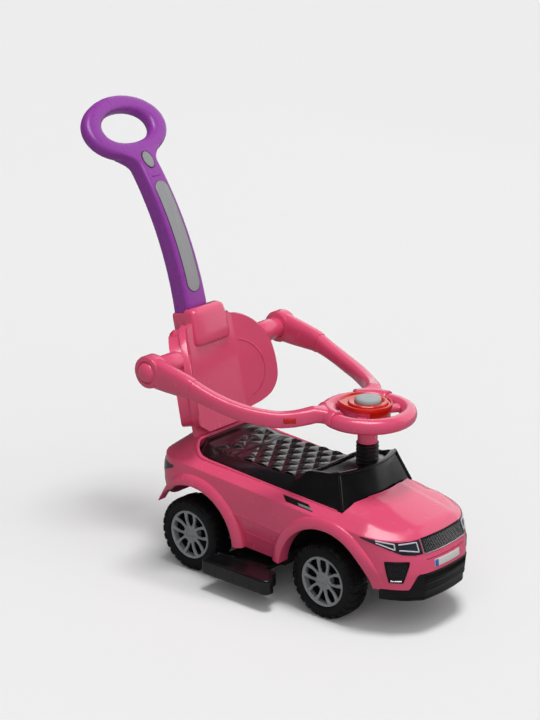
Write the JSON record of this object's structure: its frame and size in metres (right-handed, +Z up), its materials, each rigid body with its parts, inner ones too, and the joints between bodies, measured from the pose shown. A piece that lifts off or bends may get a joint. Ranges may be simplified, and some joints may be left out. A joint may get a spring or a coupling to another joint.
{
  "type": "push car",
  "caption": "Toddler ride-on push car with storage seat, winged backrest, lifting guard arms clipped to the steering wheel, sliding footrests and a tall push handle.",
  "frame": {"origin": "on the floor, under the middle of the overall box", "axes": "+X to the front of the car, +Y to its left side, +Z up"},
  "size_m": [0.8699, 0.422, 0.8826],
  "materials": {
    "tyre_plastic": "satin blow-moulded",
    "wheel_cover": "satin moulded",
    "body_pink": "gloss moulded",
    "black_plastic": "gloss moulded",
    "handle_purple": "gloss moulded",
    "signal_red": "gloss moulded",
    "button_grey": "satin moulded",
    "label_grey": "printed film",
    "steel": "bright",
    "bright_trim": "bright film",
    "lamp_lens": "smoked",
    "plate_white": "printed film",
    "circuit_board": "coated"
  },
  "bodies": {
    "car": {"arm_bolts": "steel", "backrest_front": "body_pink", "backrest_rear": "body_pink", "body_shell": "body_pink", "chassis_pan": "black_plastic", "column_bush": "black_plastic", "dash_cowl": "black_plastic", "floor_screws": "steel", "fog_grille_left": "black_plastic", "fog_grille_right": "black_plastic", "front_bumper": "black_plastic", "grille_frame": "bright_trim", "grille_mesh": "black_plastic", "headlight_left": "lamp_lens", "headlight_right": "lamp_lens", "number_plate": "plate_white", "rear_axle": "steel", "rear_axle_nuts": "steel", "seat_base": "black_plastic", "seat_hinge_pin": "steel", "side_vent_left": "black_plastic", "side_vent_right": "black_plastic", "storage_bin": "black_plastic", "tail_lamp_left": "lamp_lens", "tail_lamp_right": "lamp_lens"},
    "seat": {"seat_lid": "black_plastic"},
    "steering": {"steering_wheel": "body_pink", "hub_panel": "signal_red", "steering_rod": "steel", "column_screw": "steel", "axle_bracket": "black_plastic", "front_axle": "steel", "front_axle_nuts": "steel", "sound_board": "circuit_board", "speaker": "circuit_board", "battery_cells": "steel", "battery_door": "black_plastic"},
    "horn": {"horn_button": "button_grey"},
    "handle": {"push_handle": "handle_purple", "handle_label": "label_grey"},
    "wheel_front_left": {"tyre_front_left": "tyre_plastic", "rim_front_left": "wheel_cover"},
    "wheel_rear_left": {"tyre_rear_left": "tyre_plastic", "rim_rear_left": "wheel_cover"},
    "guard_left": {"arm_left": "body_pink", "arm_clip_left": "body_pink", "pivot_cap_left": "body_pink"},
    "latch_left": {"latch_button_left": "signal_red"},
    "step_left": {"footrest_left": "black_plastic"},
    "wheel_front_right": {"tyre_front_right": "tyre_plastic", "rim_front_right": "wheel_cover"},
    "wheel_rear_right": {"tyre_rear_right": "tyre_plastic", "rim_rear_right": "wheel_cover"},
    "guard_right": {"arm_right": "body_pink", "arm_clip_right": "body_pink", "pivot_cap_right": "body_pink"},
    "latch_right": {"latch_button_right": "signal_red"},
    "step_right": {"footrest_right": "black_plastic"}
  },
  "joints": [
    {"name": "steering_turn", "type": "hinge", "parent": "car", "child": "steering", "pos_m": [0.24, 0, 0.2], "axis": [0, 0, 1], "range_deg": [-12, 12]},
    {"name": "horn_press", "type": "slide", "parent": "steering", "child": "horn", "axis": [0, 0, -1], "range_m": [0, 0.003], "stiffness_N_per_m": 400, "springref_m": -0.002},
    {"name": "seat_lift", "type": "hinge", "parent": "car", "child": "seat", "pos_m": [-0.0275, 0, 0.2375], "axis": [0, -1, 0], "range_deg": [0, 90]},
    {"name": "handle_pull", "type": "slide", "parent": "car", "child": "handle", "axis": [-0.1994, 0, 0.9799], "range_m": [0, 0.12]},
    {"name": "wheel_spin_front_left", "type": "hinge", "parent": "steering", "child": "wheel_front_left", "pos_m": [0.24, 0.107, 0.075], "axis": [0, 1, 0], "continuous": true},
    {"name": "wheel_spin_rear_left", "type": "hinge", "parent": "car", "child": "wheel_rear_left", "pos_m": [-0.098, 0.107, 0.075], "axis": [0, 1, 0], "continuous": true},
    {"name": "guard_lift_left", "type": "hinge", "parent": "car", "child": "guard_left", "pos_m": [-0.137, 0.1885, 0.42099], "axis": [0, -1, 0], "range_deg": [0, 95]},
    {"name": "latch_press_left", "type": "slide", "parent": "guard_left", "child": "latch_left", "axis": [-0.6489, -0.7608, 0], "range_m": [0, 0.0025], "stiffness_N_per_m": 600, "springref_m": -0.001},
    {"name": "step_slide_left", "type": "slide", "parent": "car", "child": "step_left", "axis": [0, -1, 0], "range_m": [0, 0.046]},
    {"name": "wheel_spin_front_right", "type": "hinge", "parent": "steering", "child": "wheel_front_right", "pos_m": [0.24, -0.107, 0.075], "axis": [0, 1, 0], "continuous": true},
    {"name": "wheel_spin_rear_right", "type": "hinge", "parent": "car", "child": "wheel_rear_right", "pos_m": [-0.098, -0.107, 0.075], "axis": [0, 1, 0], "continuous": true},
    {"name": "guard_lift_right", "type": "hinge", "parent": "car", "child": "guard_right", "pos_m": [-0.137, -0.1885, 0.42099], "axis": [0, -1, 0], "range_deg": [0, 95]},
    {"name": "latch_press_right", "type": "slide", "parent": "guard_right", "child": "latch_right", "axis": [-0.6489, 0.7608, 0], "range_m": [0, 0.0025], "stiffness_N_per_m": 600, "springref_m": -0.001},
    {"name": "step_slide_right", "type": "slide", "parent": "car", "child": "step_right", "axis": [0, 1, 0], "range_m": [0, 0.046]}
  ]
}
